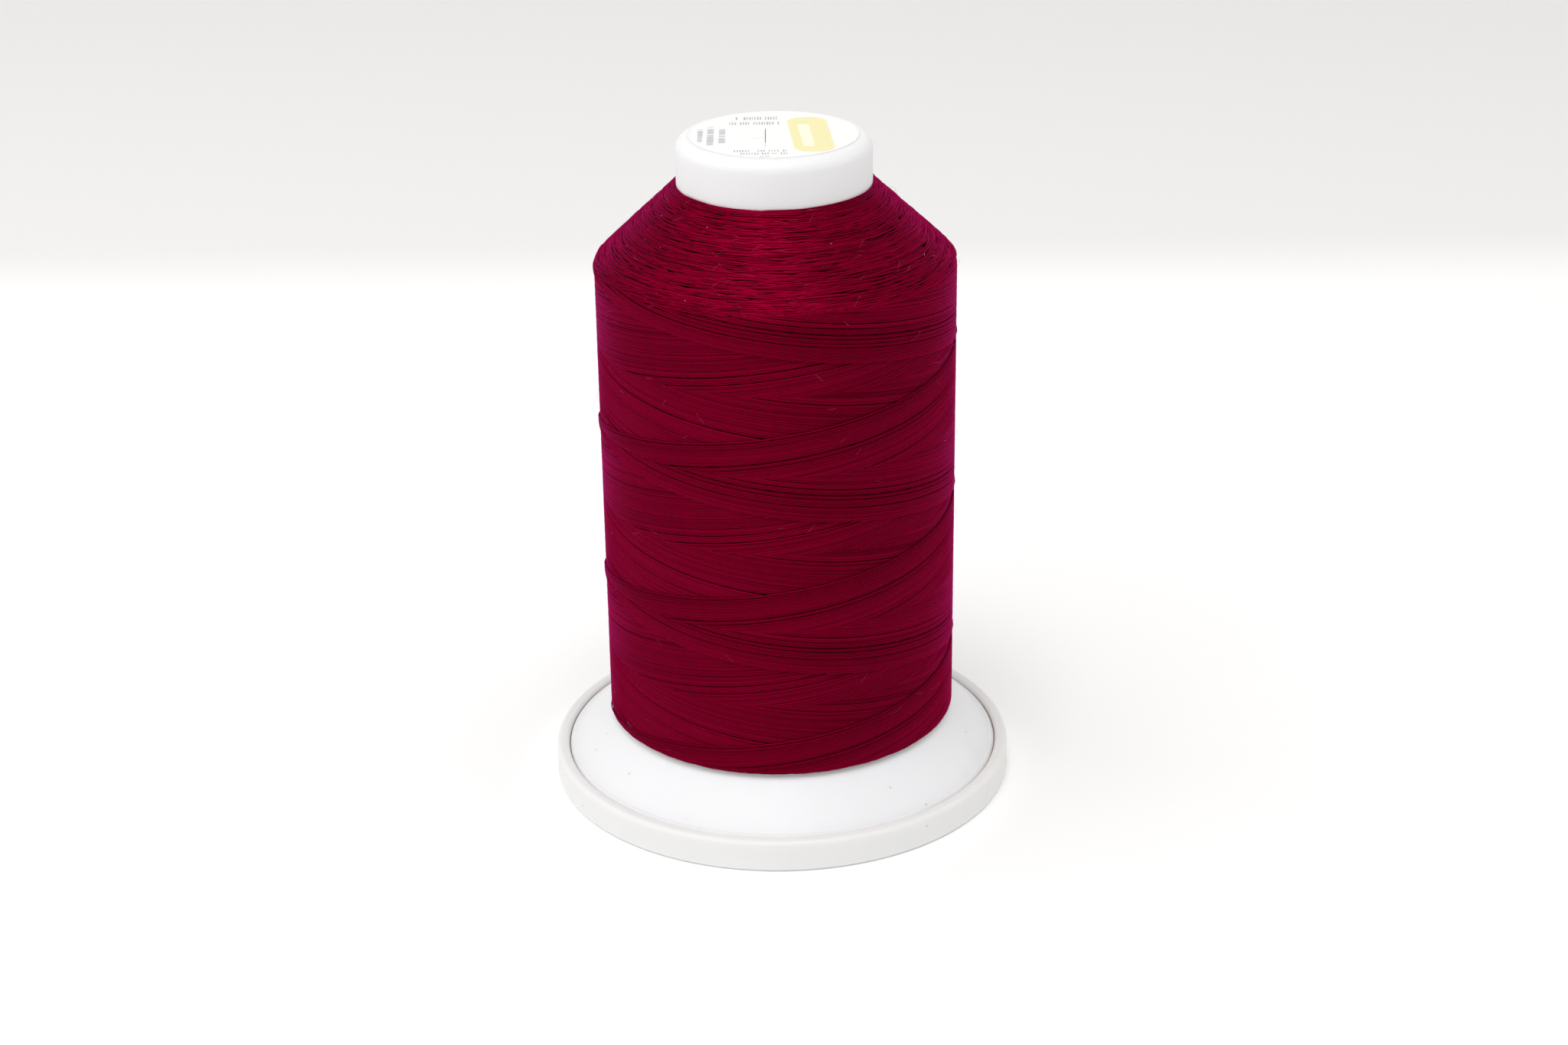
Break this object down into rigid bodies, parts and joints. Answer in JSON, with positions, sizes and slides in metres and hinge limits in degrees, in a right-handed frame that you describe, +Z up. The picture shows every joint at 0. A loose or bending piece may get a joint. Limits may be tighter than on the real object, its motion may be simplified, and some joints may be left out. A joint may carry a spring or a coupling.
{
  "type": "king spool of sewing thread",
  "caption": "White plastic king spool with a conical flange, snap-lock base and labelled cap, wound with one package of dark red embroidery thread.",
  "frame": {"origin": "centre of the face that the spool stands on", "axes": "+Z up along the spool's axis, from the base to the labelled cap; -Y faces the viewer, with the label's colour mark to +X"},
  "size_m": [0.076, 0.076, 0.1093],
  "materials": {
    "base_plastic": "white polypropylene, satin",
    "barrel_plastic": "white polypropylene, satin",
    "cap_plastic": "white polypropylene, satin",
    "label_paper": "coated white paper with a small printed mark",
    "thread": "two-ply trilobal polyester thread with a soft sheen"
  },
  "bodies": {
    "base": {"snap_base": "base_plastic"},
    "spool": {"barrel": "barrel_plastic", "top_cap": "cap_plastic", "label": "label_paper", "winding": "thread"}
  },
  "joints": [
    {"name": "snap_slide", "type": "slide", "parent": "base", "child": "spool", "axis": [0, 0, 1], "range_m": [0, 0.004]}
  ]
}
